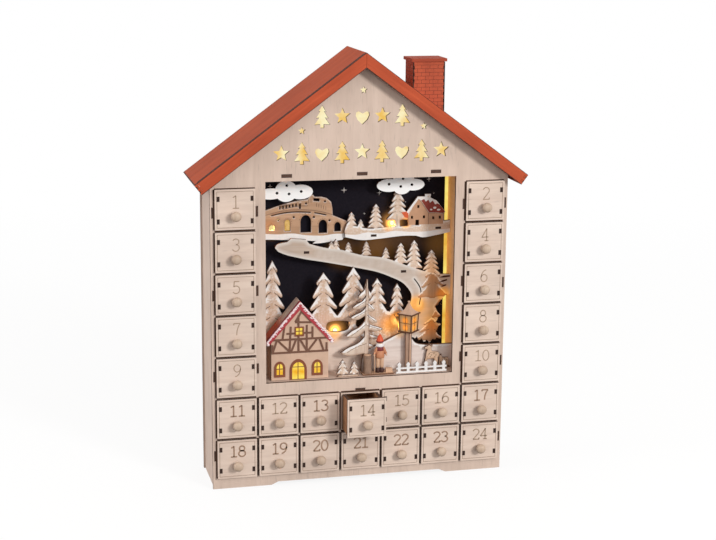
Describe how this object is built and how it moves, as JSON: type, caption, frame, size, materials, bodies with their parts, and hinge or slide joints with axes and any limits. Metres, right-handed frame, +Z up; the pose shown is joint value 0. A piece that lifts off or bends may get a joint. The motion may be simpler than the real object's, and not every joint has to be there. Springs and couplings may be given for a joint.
{
  "type": "advent calendar",
  "caption": "Lit wooden house with numbered pull-out drawers around a window onto a layered winter village, under a red roof with a chimney.",
  "frame": {"origin": "middle of the whole footprint, drawer pulled out as stored, on the table", "axes": "+Z up, +X to the viewer's right, +Y towards the back panel"},
  "size_m": [0.3326, 0.1106, 0.4321],
  "materials": {
    "plywood": "bare laser-cut birch plywood with browned edges",
    "scene_wood": "bare thin plywood, printed snow on the edges",
    "roof_red": "red stained plywood",
    "band_red": "orange-red stained plywood",
    "brick_red": "red stained plywood with engraved brick courses",
    "night_black": "plywood printed in night blue-black with small stars",
    "snow_white": "thin plywood painted white",
    "black_plastic": "moulded black plastic",
    "battery_sleeve": "steel cell in a plain printed sleeve",
    "wire": "clear insulated lead with small warm white lamps"
  },
  "bodies": {
    "house": {"front_panel": "plywood", "back_panel": "plywood", "left_side_board": "plywood", "right_side_board": "plywood", "left_drawer_rack": "plywood", "right_drawer_rack": "plywood", "base_drawer_rack": "plywood", "scene_floor": "plywood", "scene_ceiling": "plywood", "left_roof_board": "roof_red", "right_roof_board": "roof_red", "left_gable_band": "band_red", "right_gable_band": "band_red", "chimney_body": "brick_red", "chimney_cap": "brick_red", "battery_case": "black_plastic", "upper_battery_cell": "battery_sleeve", "lower_battery_cell": "battery_sleeve", "light_string": "wire", "sky_board": "night_black", "left_cloud": "snow_white", "right_cloud": "snow_white", "viaduct_train": "scene_wood", "hilltop_village": "scene_wood", "winding_road": "scene_wood", "fir_forest": "scene_wood", "snow_hill": "scene_wood", "tall_fir": "snow_white", "half_timbered_cottage": "scene_wood", "small_firs": "snow_white", "picket_fence": "snow_white", "street_lamp": "scene_wood", "walker_and_stump": "scene_wood", "deer_pair": "scene_wood"},
    "battery_lid_body": {"battery_lid": "black_plastic"},
    "switch_body": {"switch_slider": "black_plastic"},
    "drawer_01_body": {"drawer_01": "plywood"},
    "drawer_02_body": {"drawer_02": "plywood"},
    "drawer_03_body": {"drawer_03": "plywood"},
    "drawer_04_body": {"drawer_04": "plywood"},
    "drawer_05_body": {"drawer_05": "plywood"},
    "drawer_06_body": {"drawer_06": "plywood"},
    "drawer_07_body": {"drawer_07": "plywood"},
    "drawer_08_body": {"drawer_08": "plywood"},
    "drawer_09_body": {"drawer_09": "plywood"},
    "drawer_10_body": {"drawer_10": "plywood"},
    "drawer_11_body": {"drawer_11": "plywood"},
    "drawer_12_body": {"drawer_12": "plywood"},
    "drawer_13_body": {"drawer_13": "plywood"},
    "drawer_14_body": {"drawer_14": "plywood"},
    "drawer_15_body": {"drawer_15": "plywood"},
    "drawer_16_body": {"drawer_16": "plywood"},
    "drawer_17_body": {"drawer_17": "plywood"},
    "drawer_18_body": {"drawer_18": "plywood"},
    "drawer_19_body": {"drawer_19": "plywood"},
    "drawer_20_body": {"drawer_20": "plywood"},
    "drawer_21_body": {"drawer_21": "plywood"},
    "drawer_22_body": {"drawer_22": "plywood"},
    "drawer_23_body": {"drawer_23": "plywood"},
    "drawer_24_body": {"drawer_24": "plywood"}
  },
  "joints": [
    {"name": "drawer_01_slide", "type": "slide", "parent": "house", "child": "drawer_01_body", "axis": [0, -1, 0], "range_m": [0, 0.05]},
    {"name": "drawer_02_slide", "type": "slide", "parent": "house", "child": "drawer_02_body", "axis": [0, -1, 0], "range_m": [0, 0.05]},
    {"name": "drawer_03_slide", "type": "slide", "parent": "house", "child": "drawer_03_body", "axis": [0, -1, 0], "range_m": [0, 0.05]},
    {"name": "drawer_04_slide", "type": "slide", "parent": "house", "child": "drawer_04_body", "axis": [0, -1, 0], "range_m": [0, 0.05]},
    {"name": "drawer_05_slide", "type": "slide", "parent": "house", "child": "drawer_05_body", "axis": [0, -1, 0], "range_m": [0, 0.05]},
    {"name": "drawer_06_slide", "type": "slide", "parent": "house", "child": "drawer_06_body", "axis": [0, -1, 0], "range_m": [0, 0.05]},
    {"name": "drawer_07_slide", "type": "slide", "parent": "house", "child": "drawer_07_body", "axis": [0, -1, 0], "range_m": [0, 0.05]},
    {"name": "drawer_08_slide", "type": "slide", "parent": "house", "child": "drawer_08_body", "axis": [0, -1, 0], "range_m": [0, 0.05]},
    {"name": "drawer_09_slide", "type": "slide", "parent": "house", "child": "drawer_09_body", "axis": [0, -1, 0], "range_m": [0, 0.05]},
    {"name": "drawer_10_slide", "type": "slide", "parent": "house", "child": "drawer_10_body", "axis": [0, -1, 0], "range_m": [0, 0.05]},
    {"name": "drawer_11_slide", "type": "slide", "parent": "house", "child": "drawer_11_body", "axis": [0, -1, 0], "range_m": [0, 0.05]},
    {"name": "drawer_12_slide", "type": "slide", "parent": "house", "child": "drawer_12_body", "axis": [0, -1, 0], "range_m": [0, 0.05]},
    {"name": "drawer_13_slide", "type": "slide", "parent": "house", "child": "drawer_13_body", "axis": [0, -1, 0], "range_m": [0, 0.05]},
    {"name": "drawer_14_slide", "type": "slide", "parent": "house", "child": "drawer_14_body", "axis": [0, -1, 0], "range_m": [-0.025, 0.025]},
    {"name": "drawer_15_slide", "type": "slide", "parent": "house", "child": "drawer_15_body", "axis": [0, -1, 0], "range_m": [0, 0.05]},
    {"name": "drawer_16_slide", "type": "slide", "parent": "house", "child": "drawer_16_body", "axis": [0, -1, 0], "range_m": [0, 0.05]},
    {"name": "drawer_17_slide", "type": "slide", "parent": "house", "child": "drawer_17_body", "axis": [0, -1, 0], "range_m": [0, 0.05]},
    {"name": "drawer_18_slide", "type": "slide", "parent": "house", "child": "drawer_18_body", "axis": [0, -1, 0], "range_m": [0, 0.05]},
    {"name": "drawer_19_slide", "type": "slide", "parent": "house", "child": "drawer_19_body", "axis": [0, -1, 0], "range_m": [0, 0.05]},
    {"name": "drawer_20_slide", "type": "slide", "parent": "house", "child": "drawer_20_body", "axis": [0, -1, 0], "range_m": [0, 0.05]},
    {"name": "drawer_21_slide", "type": "slide", "parent": "house", "child": "drawer_21_body", "axis": [0, -1, 0], "range_m": [0, 0.05]},
    {"name": "drawer_22_slide", "type": "slide", "parent": "house", "child": "drawer_22_body", "axis": [0, -1, 0], "range_m": [0, 0.05]},
    {"name": "drawer_23_slide", "type": "slide", "parent": "house", "child": "drawer_23_body", "axis": [0, -1, 0], "range_m": [0, 0.05]},
    {"name": "drawer_24_slide", "type": "slide", "parent": "house", "child": "drawer_24_body", "axis": [0, -1, 0], "range_m": [0, 0.05]},
    {"name": "battery_lid_slide", "type": "slide", "parent": "house", "child": "battery_lid_body", "axis": [-1, 0, 0], "range_m": [0, 0.03]},
    {"name": "switch_slide", "type": "slide", "parent": "house", "child": "switch_body", "axis": [0, 0, 1], "range_m": [-0.003, 0]}
  ]
}
